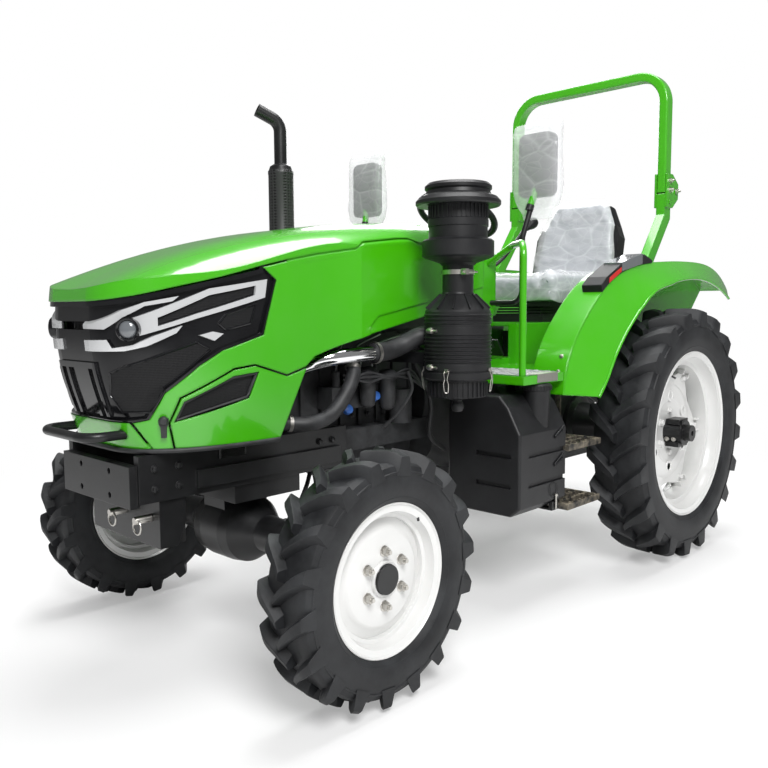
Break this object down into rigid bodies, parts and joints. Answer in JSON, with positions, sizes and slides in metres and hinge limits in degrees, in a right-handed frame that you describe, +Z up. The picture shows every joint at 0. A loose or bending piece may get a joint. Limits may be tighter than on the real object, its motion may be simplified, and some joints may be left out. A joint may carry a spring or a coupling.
{
  "type": "farm tractor",
  "caption": "Four-wheel-drive farm tractor with an opening hood, steered front wheels, a folding roll bar and a rear three-point hitch",
  "frame": {"origin": "ground point midway along the length on the centre line", "axes": "+X forward, +Y to the driver's left, +Z up"},
  "size_m": [3.5469, 1.626, 2.36],
  "materials": {
    "green_paint": "gloss",
    "black_paint": "satin",
    "white_paint": "gloss",
    "tyre_rubber": "matte",
    "cast_grey": "matte",
    "black_plastic": "matte",
    "gloss_black": "gloss",
    "lamp": "polished",
    "seat_vinyl": "satin",
    "chrome_rod": "polished"
  },
  "bodies": {
    "chassis": {"front_frame": "black_paint", "guard_bar": "black_paint", "nose_skirt": "green_paint", "lower_panel_left": "green_paint", "lower_panel_right": "green_paint", "engine": "cast_grey", "radiator": "black_plastic", "gearbox": "cast_grey", "rear_axle": "black_paint", "front_axle": "black_paint", "air_cleaner": "black_plastic", "precleaner": "black_plastic", "exhaust": "black_paint", "cowl": "green_paint", "steering_column": "black_paint", "platform": "green_paint", "fuel_tank": "black_plastic", "battery_box": "black_plastic", "steps": "black_paint", "handrails": "green_paint", "fender_left": "green_paint", "fender_right": "green_paint", "fender_lamps": "black_plastic", "seat_base": "black_plastic", "seat_cushion": "seat_vinyl", "seat_back": "seat_vinyl", "seat_shell": "black_plastic", "rops_posts": "green_paint", "mirror_left": "black_paint", "mirror_right": "black_paint", "levers": "black_plastic", "drawbar": "black_paint"},
    "hood": {"hood_top": "green_paint", "hood_side_left": "green_paint", "hood_side_right": "green_paint", "grille": "gloss_black", "headlamp_left": "lamp", "headlamp_right": "lamp"},
    "knuckle_left": {"knuckle_left": "black_paint"},
    "knuckle_right": {"knuckle_right": "black_paint"},
    "front_wheel_left": {"front_tyre_left": "tyre_rubber", "front_rim_left": "white_paint"},
    "front_wheel_right": {"front_tyre_right": "tyre_rubber", "front_rim_right": "white_paint"},
    "rear_wheel_left": {"rear_tyre_left": "tyre_rubber", "rear_rim_left": "white_paint", "rear_hub_left": "black_paint"},
    "rear_wheel_right": {"rear_tyre_right": "tyre_rubber", "rear_rim_right": "white_paint", "rear_hub_right": "black_paint"},
    "steering_wheel": {"steering_wheel": "black_plastic"},
    "steering_rod": {"steering_rod": "chrome_rod"},
    "rops_hoop": {"rops_hoop": "green_paint"},
    "lift_arms": {"lift_arms": "black_paint"},
    "lower_links": {"lower_links": "black_paint"},
    "lift_rods": {"lift_rods": "black_paint"}
  },
  "joints": [
    {"name": "hood_open", "type": "hinge", "parent": "chassis", "child": "hood", "pos_m": [0.1765, 0, 1.462], "axis": [0, -1, 0], "range_deg": [0, 55]},
    {"name": "steer_left", "type": "hinge", "parent": "chassis", "child": "knuckle_left", "pos_m": [1.1515, 0.52, 0.378], "axis": [0, 0, 1], "range_deg": [-40, 40]},
    {"name": "steer_right", "type": "hinge", "parent": "chassis", "child": "knuckle_right", "pos_m": [1.1515, -0.52, 0.378], "axis": [0, 0, 1], "range_deg": [-40, 40]},
    {"name": "spin_front_left", "type": "hinge", "parent": "knuckle_left", "child": "front_wheel_left", "pos_m": [1.1515, 0.68, 0.378], "axis": [0, 1, 0], "continuous": true},
    {"name": "spin_front_right", "type": "hinge", "parent": "knuckle_right", "child": "front_wheel_right", "pos_m": [1.1515, -0.68, 0.378], "axis": [0, 1, 0], "continuous": true},
    {"name": "spin_rear_left", "type": "hinge", "parent": "chassis", "child": "rear_wheel_left", "pos_m": [-0.8385, 0.688, 0.576], "axis": [0, 1, 0], "continuous": true},
    {"name": "spin_rear_right", "type": "hinge", "parent": "chassis", "child": "rear_wheel_right", "pos_m": [-0.8385, -0.688, 0.576], "axis": [0, 1, 0], "continuous": true},
    {"name": "steering_wheel_turn", "type": "hinge", "parent": "chassis", "child": "steering_wheel", "pos_m": [-0.0905, 0, 1.572], "axis": [-0.4695, 0, 0.8829], "range_deg": [-500, 500]},
    {"name": "steering_rod_slide", "type": "slide", "parent": "chassis", "child": "steering_rod", "axis": [0, -1, 0], "range_m": [-0.092, 0.092]},
    {"name": "rops_fold", "type": "hinge", "parent": "chassis", "child": "rops_hoop", "pos_m": [-1.2965, 0, 1.752], "axis": [0, -1, 0], "range_deg": [0, 100]},
    {"name": "hitch_lift", "type": "hinge", "parent": "chassis", "child": "lift_arms", "pos_m": [-0.9885, 0, 0.985], "axis": [0, 1, 0], "range_deg": [-15, 25]},
    {"name": "link_lift", "type": "hinge", "parent": "chassis", "child": "lower_links", "pos_m": [-0.9885, 0, 0.47], "axis": [0, 1, 0], "range_deg": [-15, 25]},
    {"name": "rod_swing", "type": "hinge", "parent": "lift_arms", "child": "lift_rods", "pos_m": [-1.2885, 0, 0.985], "axis": [0, 1, 0], "range_deg": [-25, 15]}
  ],
  "couplings": [
    {"joint": "steer_right", "follows": "steer_left", "ratio": 1},
    {"joint": "steering_wheel_turn", "follows": "steer_left", "ratio": 12},
    {"joint": "steering_rod_slide", "follows": "steer_left", "m_per_rad": 0.1308},
    {"joint": "link_lift", "follows": "hitch_lift", "ratio": 1},
    {"joint": "rod_swing", "follows": "hitch_lift", "ratio": -1}
  ]
}
